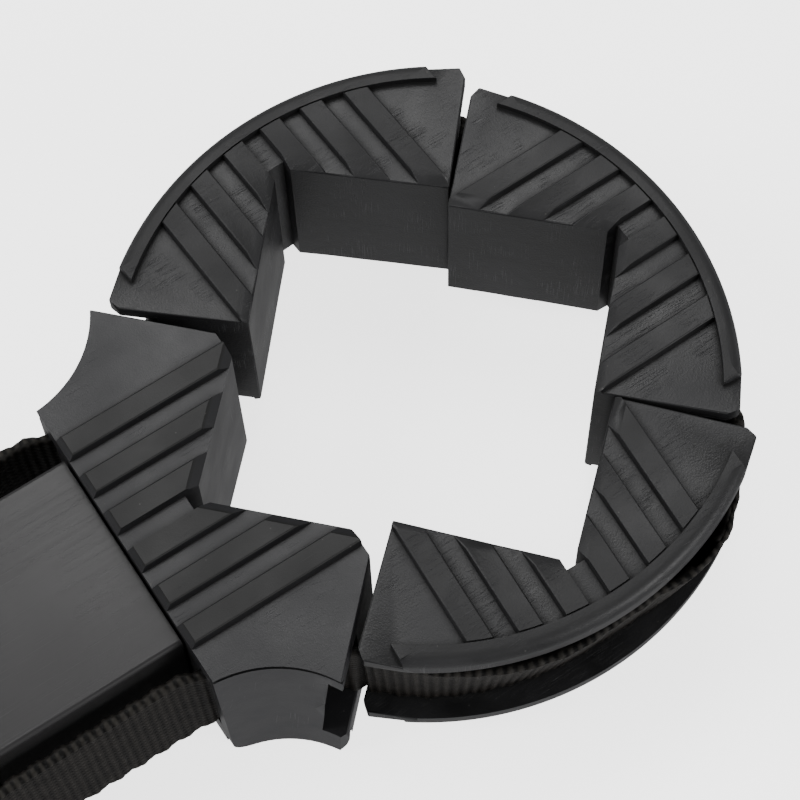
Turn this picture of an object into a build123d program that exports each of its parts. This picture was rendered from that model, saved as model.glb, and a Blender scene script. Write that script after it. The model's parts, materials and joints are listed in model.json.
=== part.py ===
from build123d import *
from math import cos, pi, radians, sin, sqrt, tan
import os

# Strap clamp with four corner jaws, millimetres.
# +X runs along the tool from the handle to the jaws, +Z is up, and the bench is z = 0.
# The model is drawn about the centre of the jaw ring and moved to its own origin when written.

# ---- jaws ----
face_length = 34.0          # one clamping face of a jaw
end_depth = 25.1            # depth of a jaw's end face, from the clamping face outwards
jaw_height = 35.0           # between the upper and the lower plain face of a loose jaw
head_height = 40.0          # the same on the fixed jaw
rib_height = 1.5
rib_width = 4.85
jaw_rib_pitch = 9.0
head_rib_pitch = 8.75
ribs_per_side = 3
rim_radius = 65.3           # outer edge of a loose jaw
rim_setback = 52.8          # from the notch corner back to the centre of the rim
rim_width = 3.7
rim_round = 2.4
rim_seam = (0.35, 0.4)      # width and depth of the line between the ribs and the rim
rim_half_span = 36.8
flange_corner = (-3.6, 42.4)
facet_slope = 0.24          # fall of the flange per length beyond the rim's ends
facet_length = 8.0
flange_thickness = 3.3
jaw_ramp = 2.6              # how far a rib slopes down to the clamping face
head_ramp = 2.0
rib_draft = 0.35            # each side of a rib leans in by this much towards its top
rear_ramp = 1.2
jaw_relief = (0.5, 1.9)     # depth and half width of the relief in the notch corner
head_relief = (1.2, 2.0)

# Where the three loose jaws sit on the strap: shift along X and Y from the nominal place, and turn.
jaw_rest = {
    "left": (1.5, 2.6, 3.8),
    "far": (1.1, 1.5, 1.0),
    "right": (3.0, -0.7, -2.7),
}
jaw_direction = {"left": 90.0, "far": 0.0, "right": -90.0}

# ---- strap ----
strap_width = 25.0
strap_thickness = 2.2
strap_low = 10.1            # lower edge of the strap above the bench
strap_floor_radius = 52.1   # channel floor in the jaws, about the ring centre
strap_clearance = 0.3
strap_run_y = 27.9          # middle of the strap beside the housing
strap_gap_x = 34.0          # open stretch between the fixed run and the carriage's strap

# ---- fixed jaw (head) ----
head_tip_cut = 20.9         # the wing tips are cut off square this far in front of the notch
head_rear = 15.6
head_wing = 44.5            # half width over the wings
wing_corner = (3.0, 3.9, 5.2, 0.3)  # three steps in front of the notch, and one inwards, round its corner
wing_arc_centre = (17.5, 55.3)
wing_arc_radius = 23.6
wing_arc_foot_radius = 21.7  # the wing wall leans out towards the bench
wing_lip = 2.4
wing_lip_overhang = 1.5     # the lip's edge leans in by this much below the plate's top
wing_wall_overhang = 0.35
wing_mouth = -2.2           # the outer wall ends here, and the strap comes out in front of it
mouth_lean = 2.4            # the wall's end stands further back by this much at the bottom
channel_width = 3.6
channel_bend_leg = 13.5     # from the corner of the strap's path to each end of its bend
channel_skin = 1.0          # left outside the channel where the wing's feet are rounded
wing_foot_round = 4.0       # the wing's outline is rounded at the bench
wing_front = -4.4           # where the front one of these roundings starts
tenon_length = 14.0
tenon_half_width = 18.0

# ---- housing ----
housing_gap = 0.5
housing_length = 126.0
housing_width = 43.2
housing_top = 39.0
housing_bottom = 4.0
housing_wall = 3.0
housing_round = 1.0
slot_half_height = 7.0
slot_end_room = 1.5         # beyond the carriage's arm at each end of its travel
screw_radius = 1.75
screw_head_radius = 3.2
screw_head_height = 2.2
screw_inset = 5.0           # from the tenon's side to a screw's middle
front_screw_depth = 9.5     # from the housing's front end to the front screws
socket_radius = 1.6
socket_depth = 1.4
screw_axis_z = 21.5
fit = 0.2                   # sliding clearance

# ---- lead screw and handle ----
screw_diameter = 12.0
journal_diameter = 8.0
running = 0.05              # radial clearance of a running fit
bush_wall = 2.5
bush_length = 10.0
thread_pitch = 3.0
thread_undercut = 1.0
screw_end_step = 0.5        # the screw ends this far inside its front bush
screw_in_core = 24.0        # how far the screw reaches into the handle behind its hub
washer_thickness = 1.5
washer_diameter = 20.0
end_plate = 8.0
end_plate_side = 43.0
spigot_length = 8.0
handle_length = 118.0
handle_diameter = 34.0
core_diameter = 24.0
flutes = 8
flute_radius = 5.5
flute_depth = 1.3
hub_length = 14.0
hub_diameter = 27.0
cap_length = 9.0
cross_pin_diameter = 4.0
pin_inset = 0.4             # the pin's ends lie this far below the hub
ring_width = 1.2
clip_gap = 0.15
clip_thickness = 0.8
clip_height = 2.0

# ---- carriage and strap lock ----
carriage_x = -146.0         # middle of the carriage with the strap tight
carriage_length = 24.0
carriage_travel = 30.0
nut_side = 20.0
nut_length = 16.0
arm_length = 20.0
bracket_length = 34.0
bracket_plate = 3.2
cheek = 4.0
cheek_reach = 46.0
cheek_half_width = 11.0
cheek_round = 7.0
anchor_cheek = 8.0          # from the anchor pin to the end of its cheeks
bracket_gap = 0.4           # between the housing's side and the bracket
arm_play = 1.0              # above and below the carriage's arm in the slot
pin_diameter = 5.0
pin_behind = 2.0            # the pins stand this far behind the carriage's middle
cam_radius = 7.7
cam_height = 19.0
cam_teeth = 10
tooth_radius = 0.7
lever_length = 44.0
lever_thickness = 5.0
anchor_pin_y = 31.8
spring_height = 4.6

# ---- put-away strap tail ----
coil_pitch = 9.2
coil_inner = 20.0
coil_outer = 98.0
coil_gap = 8.0              # between the handle grip and the coil
coil_behind_lock = 137.0
tie_width = 16.0
tie_thickness = 1.2

# ---- worked out from the above ----
ring_corner = face_length * sqrt(2)
head_low = rib_height
head_top = head_low + head_height
rib_top = head_top + rib_height
jaw_top = head_top
jaw_low = jaw_top - jaw_height
jaw_middle = (jaw_top + jaw_low) / 2
head_middle = (head_top + head_low) / 2
strap_high = strap_low + strap_width
strap_radius = strap_floor_radius + strap_clearance + strap_thickness / 2
head_x = -ring_corner
housing_front = head_x - head_rear - housing_gap
housing_rear = housing_front - housing_length
plate_rear = housing_rear - end_plate
washer_rear = plate_rear - washer_thickness
handle_front = washer_rear - 2 * running - ring_width
grip_front = handle_front - hub_length
handle_rear = handle_front - handle_length
strap_side = strap_run_y + strap_thickness / 2


def drawn(points, low, high):
    """A prism on a closed outline, from low to high."""
    return Pos(0, 0, low) * extrude(make_face(Polyline(*points, close=True)), high - low)


def block(x0, x1, y0, y1, z0, z1):
    return Pos((x0 + x1) / 2, (y0 + y1) / 2, (z0 + z1) / 2) * Box(abs(x1 - x0), abs(y1 - y0), abs(z1 - z0))


def post(x, y, radius, low, high):
    return Pos(x, y, (low + high) / 2) * Cylinder(radius, high - low)


def rod(x0, x1, radius, y=0.0, z=screw_axis_z):
    return Pos((x0 + x1) / 2, y, z) * Rot(0, 90, 0) * Cylinder(radius, abs(x1 - x0))


def tube_x(x0, x1, outer, inner):
    return rod(x0, x1, outer) - rod(min(x0, x1) - 1, max(x0, x1) + 1, inner)


def mirrored(points):
    """A half outline with y above 0, closed by its mirror image."""
    return points + [(x, -y) for x, y in reversed(points)]


def upside_down(shape, middle):
    return mirror(shape, about=Plane.XY.offset(middle))


def rib_centres(pitch):
    return [side * pitch * (k + 0.5) for k in range(ribs_per_side) for side in (-1, 1)]


def rib_bar(y, level, reach):
    """A long rib with drafted sides, along X."""
    foot, crest = (rib_width + rib_draft) / 2, (rib_width - rib_draft) / 2
    high = level + rib_height
    profile = Polyline((y - foot, level), (y - crest, high), (y + crest, high), (y + foot, level), close=True)
    return extrude(Plane.YZ * make_face(profile), reach, both=True)


def face_ramp(ramp, level):
    """What is cut from the ribs so that they slope down to the two clamping faces."""
    run = 2 * face_length
    slope = Polyline((0, 0), (0, 2 * rib_height), (2 * ramp, 2 * rib_height), close=True)
    wedge = extrude(Plane.YZ * make_face(slope), run)
    upper = Pos(0, 0, level) * Rot(0, 0, 135) * mirror(wedge, about=Plane.XZ)
    return [upper, mirror(upper, about=Plane.XZ)]


# ---- a loose corner jaw, about its notch corner, with +X pointing out of the ring ----
def jaw_outline():
    tip = face_length / sqrt(2)
    relief, half = jaw_relief
    end = end_depth / sqrt(2)
    rim_end = sqrt(rim_radius**2 - rim_half_span**2) - rim_setback
    return [
        (relief, half),
        (-half, half),
        (-tip, tip),
        (-tip + end, tip + end),
        flange_corner,
        (rim_end, rim_half_span),
    ]


def jaw_plan(low, high):
    """The jaw's full outline: the clamping side is straight, the outside is the rim's arc."""
    half = jaw_outline()
    start, finish = half[-1], (half[-1][0], -half[-1][1])
    middle = (rim_radius - rim_setback, 0)
    edges = [ThreePointArc(start, middle, finish)]
    loop = [finish] + [(x, -y) for x, y in reversed(half[:-1])] + half
    edges += [Line(a, b) for a, b in zip(loop, loop[1:])]
    return Pos(0, 0, low) * extrude(make_face(Wire(edges)), high - low)


def jaw_relief_pattern():
    """Ribs and rim that stand on the upper plain face."""
    layer = jaw_plan(jaw_top, jaw_top + rib_height)
    inner = post(-rim_setback, 0, rim_radius - rim_width, jaw_top - 1, rib_top + 1)
    reach = 2 * rim_radius
    bars = [rib_bar(y, jaw_top, reach) for y in rib_centres(jaw_rib_pitch)]
    ribs = (layer & (Part() + bars)) & inner
    for wedge in face_ramp(jaw_ramp, jaw_top):
        ribs = ribs - wedge
    rim = layer - inner
    rim = rim & block(flange_corner[0], reach, -rim_half_span, rim_half_span, jaw_top - 1, rib_top + 1)
    width, depth = rim_seam
    edge, low = rim_radius - rim_width, rib_top - depth
    seam = post(-rim_setback, 0, edge, low, rib_top + 1)
    seam = seam - post(-rim_setback, 0, edge - width, low - 1, rib_top + 2)
    return ribs - seam + rim


def corner_facet():
    """The flange falls away beyond each end of the rim."""
    x0, y1 = flange_corner
    x1 = x0 + facet_length
    drop = Polyline((x0, jaw_top), (x1, jaw_top), (x1, jaw_top - facet_length * facet_slope), close=True)
    wedge = Pos(0, y1 + 1, 0) * extrude(Plane.XZ * make_face(drop), y1 + 1 - rim_half_span)
    return [wedge, mirror(wedge, about=Plane.XZ)]


def rim_rounding():
    """What is cut from the outer edge of the rim to round it over."""
    inside, level = rim_radius - rim_round, rib_top - rim_round
    corner = make_face(
        Wire(
            [
                RadiusArc((inside, rib_top), (rim_radius, level), rim_round),
                Line((rim_radius, level), (rim_radius + 1, level)),
                Line((rim_radius + 1, level), (rim_radius + 1, rib_top + 1)),
                Line((rim_radius + 1, rib_top + 1), (inside, rib_top + 1)),
                Line((inside, rib_top + 1), (inside, rib_top)),
            ]
        )
    )
    ring = Pos(-rim_setback, 0, 0) * revolve(Plane.XZ * corner, Axis.Z, 360)
    reach = 2 * rim_radius
    return ring & block(0, reach, -rim_half_span, rim_half_span, level - 1, rib_top + 2)


def corner_jaw():
    upper = jaw_plan(jaw_middle, jaw_top)
    for facet in corner_facet():
        upper = upper - facet
    channel = post(-ring_corner, 0, 2 * rim_radius, jaw_middle - 1, jaw_top - flange_thickness)
    channel = channel - post(-ring_corner, 0, strap_floor_radius, jaw_middle - 2, jaw_top)
    upper = (upper - channel) + jaw_relief_pattern() - rim_rounding()
    return upper + upside_down(upper, jaw_middle)


def jaw_strap():
    """The strap in a jaw's channel, between its two end faces."""
    band = post(-ring_corner, 0, strap_radius + strap_thickness / 2, strap_low, strap_high)
    band = band - post(-ring_corner, 0, strap_radius - strap_thickness / 2, strap_low - 1, strap_high + 1)
    reach = 2 * rim_radius
    sector = drawn([(0, 0), (reach, reach), (reach, -reach)], 0, rib_top)
    return band & (Pos(strap_clearance - ring_corner, 0, 0) * sector)


def jaw_place(name):
    along, across, turn = jaw_rest[name]
    direction = radians(jaw_direction[name])
    x, y = ring_corner * cos(direction) + along, ring_corner * sin(direction) + across
    return Pos(x, y, 0) * Rot(0, 0, jaw_direction[name] + turn)


# ---- the fixed jaw, drawn like a loose one and then turned to face the ring ----
def strap_bend():
    """Centre and radius of the strap's bend in a wing, and where the bend ends behind it."""
    x, y = strap_radius / sqrt(2) - ring_corner, strap_radius / sqrt(2)
    corner = x + (y - strap_run_y)
    radius = channel_bend_leg / tan(radians(22.5))
    return (corner + channel_bend_leg, strap_run_y + radius), radius


def bent_band(width, low, high, x_end):
    """A band of the given width along the strap's path through the left wing, back to x_end."""
    (cx, cy), radius = strap_bend()
    bend = post(cx, cy, radius + width / 2, low, high)
    bend = bend - post(cx, cy, radius - width / 2, low - 1, high + 1)
    front = head_tip_cut + 1
    bend = bend & block(-front, cx, 0, cy - radius / 2, low - 1, high + 1)
    tail = block(cx, x_end, strap_run_y - width / 2, strap_run_y + width / 2, low, high)
    return bend + tail


def head_outline():
    tip = head_tip_cut
    relief, half = head_relief
    sum_at_end = ring_corner
    return [
        (relief, half),
        (-half, half),
        (-tip, tip),
        (-tip, sum_at_end - tip),
        (-wing_corner[2], sum_at_end - wing_corner[2]),
        (-wing_corner[1], head_wing - wing_corner[3]),
        (-wing_corner[0], head_wing),
        (head_rear, head_wing),
    ]


def wing_cut(cx, cy):
    """The hollow outer side of a wing: a leaning wall under a thin undercut lip."""
    foot = Pos(cx, cy, 0) * Cone(
        wing_arc_foot_radius,
        wing_arc_radius + wing_wall_overhang,
        head_top - wing_lip,
        align=(Align.CENTER, Align.CENTER, Align.MIN),
    )
    lip = Pos(cx, cy, head_top - wing_lip) * Cone(
        wing_arc_radius + wing_lip_overhang,
        wing_arc_radius,
        wing_lip,
        align=(Align.CENTER, Align.CENTER, Align.MIN),
    )
    return foot + lip + post(cx, cy, wing_arc_radius, head_top, rib_top + 1)


def wing_feet(inner):
    """What rounds the two lower corners of a wing, outside the strap's channel."""
    r = wing_foot_round
    feet = []
    for x, way in ((head_rear, -1), (wing_front, 1)):
        middle = Pos(x + way * r, 0, head_low + r) * Rot(90, 0, 0) * Cylinder(r, 4 * head_wing)
        corner = block(x - way, x + way * r, inner, head_wing + 1, head_low - 1, head_low + r)
        feet.append(corner - middle)
    return feet


def head_ribs():
    layer = drawn(mirrored(head_outline()), head_top, rib_top)
    bars = [rib_bar(y, head_top, ring_corner) for y in rib_centres(head_rib_pitch)]
    ribs = layer & (Part() + bars)
    for wedge in face_ramp(head_ramp, head_top):
        ribs = ribs - wedge
    slope = Polyline(
        (head_rear, head_top),
        (head_rear, rib_top + 1),
        (head_rear - 2 * rear_ramp, rib_top + rib_height),
        close=True,
    )
    wedge = Pos(0, head_wing, 0) * extrude(Plane.XZ * make_face(slope), 2 * head_wing)
    return ribs - wedge


def head_jaw():
    outline = mirrored(head_outline())
    body = drawn(outline, head_low, head_top)
    for side in (1, -1):
        body = body - wing_cut(wing_arc_centre[0], side * wing_arc_centre[1])
    for foot in wing_feet(strap_run_y + channel_width / 2 + channel_skin):
        body = body - foot - mirror(foot, about=Plane.XZ)
    channel_low, channel_high = strap_low - 2 * strap_clearance, strap_high + 2 * strap_clearance
    channel = bent_band(channel_width, channel_low, channel_high, head_rear + 1)
    (cx, cy), radius = strap_bend()
    front = -head_tip_cut - 1
    opening = Polyline(
        (front, channel_low),
        (wing_mouth + mouth_lean, channel_low),
        (wing_mouth, channel_high),
        (front, channel_high),
        close=True,
    )
    mouth = extrude(Plane.XZ * make_face(opening), cy, both=True)
    mouth = mouth & post(cx, cy, radius, channel_low, channel_high)
    ribs = head_ribs()
    body = body + ribs + upside_down(ribs, head_middle)
    for cut in (channel, mouth):
        body = body - cut - mirror(cut, about=Plane.XZ)
    tenon = block(
        head_rear - 1,
        head_rear + housing_gap + tenon_length,
        -tenon_half_width,
        tenon_half_width,
        housing_bottom + housing_wall + fit,
        housing_top - housing_wall - fit,
    )
    body = Pos(head_x, 0, 0) * Rot(0, 0, 180) * (body + tenon)
    bush_front = front_bush_front()
    body = body - rod(bush_front, bush_front - 2 * bush_length, journal_diameter / 2 + running + bush_wall)
    for x, y in screw_places("front"):
        body = body - post(x, y, screw_hole(), 0, housing_top)
    return body


def wing_strap(side):
    """Strap through one wing and along the housing, up to the open stretch before the carriage."""
    end = head_x - (carriage_x + bracket_length / 2 + strap_gap_x)
    band = bent_band(strap_thickness, strap_low, strap_high, end)
    reach = 2 * head_wing
    rear = end + ring_corner + 1
    sector = drawn([(0, 0), (reach, reach), (rear, reach), (rear, 0)], 0, rib_top)
    band = band & (Pos(strap_clearance - ring_corner, 0, 0) * sector)
    band = Pos(head_x, 0, 0) * Rot(0, 0, 180) * band
    return band if side < 0 else mirror(band, about=Plane.XZ)


# ---- housing ----
def screw_hole():
    return screw_radius + fit


def screw_places(which):
    """The housing screws: two at the tenon and two at the end plate's spigot."""
    inset = tenon_half_width - screw_inset
    if which == "front":
        x = housing_front - front_screw_depth
    else:
        x = housing_rear + spigot_length / 2
    return [(x, inset), (x, -inset)]


def slot_range():
    """Where the carriage's arms run in the housing's sides."""
    rear = carriage_x - arm_length / 2 - slot_end_room
    front = carriage_x + carriage_travel + arm_length / 2 + slot_end_room
    return rear, front


def housing_shell(low, high, closed_high):
    half = housing_width / 2
    shell = block(housing_rear, housing_front, -half, half, low, high)
    rounded = shell.edges().filter_by(Axis.X)
    face_z = high if closed_high else low
    shell = fillet([e for e in rounded if abs(e.center().Z - face_z) < 0.01], housing_round)
    inner_low = low - 1 if closed_high else low + housing_wall
    inner_high = high - housing_wall if closed_high else high + 1
    wall = half - housing_wall
    shell = shell - block(housing_rear - 1, housing_front + 1, -wall, wall, inner_low, inner_high)
    rear, front = slot_range()
    slot_low, slot_high = screw_axis_z - slot_half_height, screw_axis_z + slot_half_height
    return shell - block(rear, front, -housing_width, housing_width, slot_low, slot_high)


def housing_top_shell():
    return housing_shell(screw_axis_z, housing_top, True)


def housing_bottom_shell():
    shell = housing_shell(housing_bottom, screw_axis_z, False)
    for x, y in screw_places("front") + screw_places("rear"):
        shell = shell - post(x, y, screw_hole(), 0, screw_axis_z)
        shell = shell - post(x, y, screw_head_radius + fit, 0, housing_bottom + screw_head_height)
    return shell


def housing_screws():
    """Four countersunk screws, put in from below."""
    screws = []
    for x, y in screw_places("front") + screw_places("rear"):
        shank = post(x, y, screw_radius, housing_bottom + screw_head_height, screw_axis_z + 6)
        head = post(x, y, screw_head_radius, housing_bottom + 0.2, housing_bottom + screw_head_height)
        socket = Pos(x, y, housing_bottom) * extrude(RegularPolygon(socket_radius, 6), socket_depth)
        screws.append(shank + head - socket)
    return screws


def end_block():
    half = end_plate_side / 2
    plate = block(plate_rear, housing_rear, -half, half, 0, rib_top)
    plate = fillet(plate.edges().filter_by(Axis.X), 5.0)
    inner = housing_width / 2 - housing_wall - fit
    spigot = block(
        housing_rear,
        housing_rear + spigot_length,
        -inner,
        inner,
        housing_bottom + housing_wall + fit,
        housing_top - housing_wall - fit,
    )
    body = plate + spigot
    bore = journal_diameter / 2 + running + bush_wall
    body = body - rod(plate_rear - 1, housing_rear + spigot_length + 1, bore)
    for x, y in screw_places("rear"):
        body = body - post(x, y, screw_hole(), 0, screw_axis_z + 7)
    return body


# ---- lead screw ----
def front_bush_front():
    return head_x - head_rear - housing_gap - tenon_length + bush_length


def bush(x_front):
    inner = journal_diameter / 2 + running
    return tube_x(x_front, x_front - bush_length, inner + bush_wall, inner)


def lead_screw():
    front = front_bush_front() - screw_end_step
    thread_front = front - bush_length - thread_undercut
    thread_rear = housing_rear + spigot_length + washer_thickness + 4 * running
    body = rod(front, grip_front - screw_in_core, journal_diameter / 2)
    thread = rod(thread_front, thread_rear, screw_diameter / 2)
    thread = chamfer(thread.edges().filter_by(GeomType.CIRCLE), thread_pitch / 3)
    return body + thread


def washer(x_front):
    return tube_x(x_front, x_front - washer_thickness, washer_diameter / 2, journal_diameter / 2 + running)


def retaining_ring():
    front = front_bush_front() - bush_length
    near = front - clip_gap
    return tube_x(near, near - clip_thickness, journal_diameter / 2 + clip_height, journal_diameter / 2)


def handle_core():
    bore = journal_diameter / 2
    hub = rod(handle_front, grip_front, hub_diameter / 2)
    hub = chamfer(hub.edges().filter_by(GeomType.CIRCLE).sort_by(Axis.X)[-1], 1.5)
    core = rod(grip_front + 1, handle_rear + cap_length, core_diameter / 2)
    body = hub + core
    body = body - rod(handle_front + 1, grip_front - screw_in_core, bore)
    x = handle_front - hub_length / 2
    return body - post(x, 0, cross_pin_diameter / 2, 0, rib_top)


def cross_pin():
    half = hub_diameter / 2 - pin_inset
    x = handle_front - hub_length / 2
    return post(x, 0, cross_pin_diameter / 2, screw_axis_z - half, screw_axis_z + half)


def lead_screw_drilled():
    x = handle_front - hub_length / 2
    return lead_screw() - post(x, 0, cross_pin_diameter / 2, 0, rib_top)


def handle_grip():
    """A soft grip with a waist near the front and shallow flutes for the fingers."""
    front, rear = grip_front, handle_rear + cap_length
    length = front - rear
    radius = handle_diameter / 2
    outline = [(rear, 0), (rear, radius - 1.5), (rear + 2, radius)]
    belly = Spline(
        (rear + 2, radius),
        (rear + 0.35 * length, radius + 0.5),
        (front - 22, radius - 3.0),
        (front - 2, radius - 0.8),
    )
    edges = [
        Line((rear, 0), outline[1]),
        Line(outline[1], outline[2]),
        belly,
        Line((front - 2, radius - 0.8), (front, radius - 2.5)),
        Line((front, radius - 2.5), (front, 0)),
        Line((front, 0), (rear, 0)),
    ]
    body = revolve(make_face(Wire(edges)), Axis.X, 360)
    body = Pos(0, 0, screw_axis_z) * body
    body = body - rod(front + 1, rear - 1, core_diameter / 2)
    for k in range(flutes):
        turn = 2 * pi * k / flutes
        away = radius + flute_radius - flute_depth
        y, z = away * cos(turn), screw_axis_z + away * sin(turn)
        body = body - rod(front - 26, rear + 14, flute_radius, y, z)
    return body


def handle_cap():
    cap = rod(handle_rear, handle_rear + cap_length, handle_diameter / 2 - 0.6)
    end = cap.edges().filter_by(GeomType.CIRCLE).sort_by(Axis.X)[0]
    return fillet(end, 5.0)


# ---- carriage ----
def travelling_nut():
    half = nut_side / 2
    body = block(
        carriage_x - nut_length / 2,
        carriage_x + nut_length / 2,
        -half,
        half,
        screw_axis_z - half,
        screw_axis_z + half,
    )
    body = chamfer(body.edges().filter_by(Axis.X), 1.0)
    return body - rod(carriage_x - nut_length, carriage_x + nut_length, screw_diameter / 2 + running)


def carriage():
    wall = housing_width / 2 - housing_wall - fit
    half = carriage_length / 2
    low = housing_bottom + housing_wall + fit
    high = housing_top - housing_wall - fit
    body = block(carriage_x - half, carriage_x + half, -wall, wall, low, high)
    arm = arm_length / 2
    arm_high = slot_half_height - arm_play
    plate_in = housing_width / 2 + bracket_gap
    low, high = screw_axis_z - arm_high, screw_axis_z + arm_high
    arms = block(carriage_x - arm, carriage_x + arm, -plate_in - 1, plate_in + 1, low, high)
    body = body + arms
    pocket = nut_side / 2
    body = body - block(
        carriage_x - nut_length / 2,
        carriage_x + nut_length / 2,
        -pocket,
        pocket,
        screw_axis_z - pocket,
        screw_axis_z + pocket,
    )
    body = body - rod(carriage_x - half - 1, carriage_x + half + 1, screw_diameter / 2 + 0.5)
    for side in (-1, 1):
        body = body + lock_bracket(side)
    return body


def pin_y(side):
    """The lock's pin stands outside the strap, and the anchor pin inside the strap's loop."""
    return -(strap_side + strap_clearance + cam_radius) if side < 0 else anchor_pin_y


def pin_x():
    return carriage_x - pin_behind


def lock_bracket(side):
    """A C-shaped bracket outside the housing that holds the strap between two cheeks."""
    half = bracket_length / 2
    plate_in = housing_width / 2 + bracket_gap
    low = strap_low - 2 * strap_clearance
    high = strap_high + 2 * strap_clearance
    reach = cheek_reach if side < 0 else anchor_pin_y + anchor_cheek
    x0, x1 = carriage_x - half, carriage_x + half
    inner = strap_run_y - strap_thickness / 2 - strap_clearance
    plate_out = inner if side < 0 else plate_in + bracket_plate
    body = block(x0, x1, side * plate_in, side * plate_out, low - 1, high + 1)
    x_pin = pin_x()
    for z0, z1 in ((low - cheek, low), (high, high + cheek)):
        wide = block(x0, x1, side * plate_in, side * plate_out, z0, z1)
        y_mid = side * (plate_in + reach) / 2
        arm = block(x_pin - cheek_half_width, x_pin + cheek_half_width, side * plate_in, side * reach, z0, z1)
        ends = [e for e in arm.edges().filter_by(Axis.Z) if abs(e.center().Y) > abs(y_mid)]
        body = body + wide + fillet(ends, cheek_round)
        body = body - post(x_pin, pin_y(side), pin_diameter / 2, z0 - 1, z1 + 1)
    return body


def lock_pin(side):
    low = strap_low - 2 * strap_clearance - cheek
    high = strap_high + 2 * strap_clearance + cheek
    shank = post(pin_x(), pin_y(side), pin_diameter / 2, low - 0.6, high)
    head = post(pin_x(), pin_y(side), pin_diameter / 2 + 1.2, high, high + 1.4)
    head = fillet(head.edges().filter_by(GeomType.CIRCLE).sort_by(Axis.Z)[-1], 0.8)
    return shank + head


def cam_low():
    return strap_low + strap_clearance


def cam_lever():
    """A serrated cam on the lock pin, with a paddle along the strap to open it by."""
    low, high = cam_low(), cam_low() + cam_height
    x, y = pin_x(), pin_y(-1)
    cam = post(x, y, cam_radius, low, high)
    away = cam_radius + tooth_radius / 2
    for k in range(cam_teeth):
        turn = radians(40 + 100 * k / (cam_teeth - 1))
        cam = cam - post(x + away * cos(turn), y + away * sin(turn), tooth_radius, low - 1, high + 1)
    inner = y + 1.0
    arm = drawn(
        [
            (x, inner),
            (x - cam_radius, inner + 0.5),
            (x - lever_length + 4, inner - 6.0),
            (x - lever_length, inner - 9.0),
            (x - lever_length, inner - 9.0 - lever_thickness),
            (x - lever_length + 9, inner - 6.5 - lever_thickness),
            (x - 2, y - cam_radius + 0.4),
        ],
        low,
        high,
    )
    body = cam + arm
    for k in range(4):
        groove_x = x - lever_length + 4 + 4.0 * k
        body = body - post(groove_x, inner - 9.6 - lever_thickness + 1.0 * k * 0.55, 0.9, low - 1, high + 1)
    return body - post(x, y, pin_diameter / 2 + running, low - 1, high + 1)


def cam_spring():
    """The torsion spring above the cam, as the plain ring that its turns fill."""
    low = cam_low() + cam_height + 0.3
    outer = pin_diameter / 2 + 2.2
    ring = post(pin_x(), pin_y(-1), outer, low, low + spring_height)
    return ring - post(pin_x(), pin_y(-1), outer - 1.4, low - 1, low + spring_height + 1)


def anchor_loop():
    """The strap's fixed end: a sewn eye round the anchor pin and the doubled strap before it."""
    x, y = pin_x(), pin_y(1)
    inner = pin_diameter / 2 + 0.3
    eye = post(x, y, inner + strap_thickness, strap_low, strap_high)
    front = carriage_x + bracket_length / 2
    inside = strap_run_y - strap_thickness / 2
    lay = block(x, front, inside, inside + 2 * strap_thickness, strap_low, strap_high)
    bridge = block(x, x + 9, inside, y + 2.0, strap_low, strap_high)
    return eye + lay + bridge - post(x, y, inner, strap_low - 1, strap_high + 1)


def lock_strap():
    """The strap that the cam grips."""
    x0, x1 = carriage_x - bracket_length / 2, carriage_x + bracket_length / 2
    return block(x0, x1, -strap_side, -strap_side + strap_thickness, strap_low, strap_high)


# ---- the strap's free end, put away beside the handle ----
coil_near_y = -(handle_diameter / 2 + coil_gap)
coil_y = coil_near_y - coil_outer
tail_start_x = carriage_x - bracket_length / 2
coil_x = tail_start_x - coil_behind_lock


def tail_points():
    """The tail's path from the lock to the coil, at the middle of the strap's width."""
    side = -strap_run_y
    middle = (strap_low + strap_high) / 2
    lying = strap_width / 2
    return [
        (tail_start_x, side, middle),
        (tail_start_x - 16, side, middle),
        (tail_start_x - 42, side - 1.6, middle - 2.5),
        (tail_start_x - 72, side + 0.2, lying + 3.0),
        (tail_start_x - 104, coil_near_y + strap_thickness / 2 + 0.05, lying),
        (coil_x, coil_near_y + strap_thickness / 2, lying),
    ]


def strap_tail():
    """The free stretch from the lock to the coil: flat lengths joined end to end, standing on edge."""
    points = tail_points()
    half = strap_thickness / 2
    left = [(x, y + half) for x, y, z in points]
    right = [(x, y - half) for x, y, z in reversed(points)]
    lower = [(x, z - strap_width / 2) for x, y, z in points]
    upper = [(x, z + strap_width / 2) for x, y, z in reversed(points)]
    reach = rim_radius
    side_view = extrude(Plane.XZ * make_face(Polyline(*lower, *upper, close=True)), reach, both=True)
    return drawn(left + right, -1, rib_top) & side_view


def strap_coil():
    """The outer shape of the coil, with a shallow recess below for the tie that goes round its turns."""
    coil = post(coil_x, coil_y, coil_outer, 0, strap_width)
    coil = coil - post(coil_x, coil_y, coil_inner, -1, strap_width + 1)
    half = tie_width / 2 + 0.4
    recess = block(coil_x - half, coil_x + half, coil_y - coil_outer - 1, coil_y, -1, tie_thickness + 0.2)
    return coil - recess


def coil_tie():
    half = tie_width / 2
    near = coil_y - sqrt(coil_inner**2 - half**2) + 1.0
    far = coil_y - coil_outer - 1.0
    high = strap_width + 2 * tie_thickness
    outside = block(
        coil_x - half, coil_x + half, far - tie_thickness, near + tie_thickness, 0, high + tie_thickness
    )
    return outside - block(coil_x - half - 1, coil_x + half + 1, far, near, tie_thickness, high)


# ---- where the model's own origin lies ----
def rim_reach(name):
    """The furthest a loose jaw's rim reaches from the ring centre, in its own direction."""
    along, across, turn = jaw_rest[name]
    direction = radians(jaw_direction[name])
    pointing = radians(jaw_direction[name] + turn)
    x = ring_corner * cos(direction) + along - rim_setback * cos(pointing)
    y = ring_corner * sin(direction) + across - rim_setback * sin(pointing)
    return x * cos(direction) + y * sin(direction) + rim_radius


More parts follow.
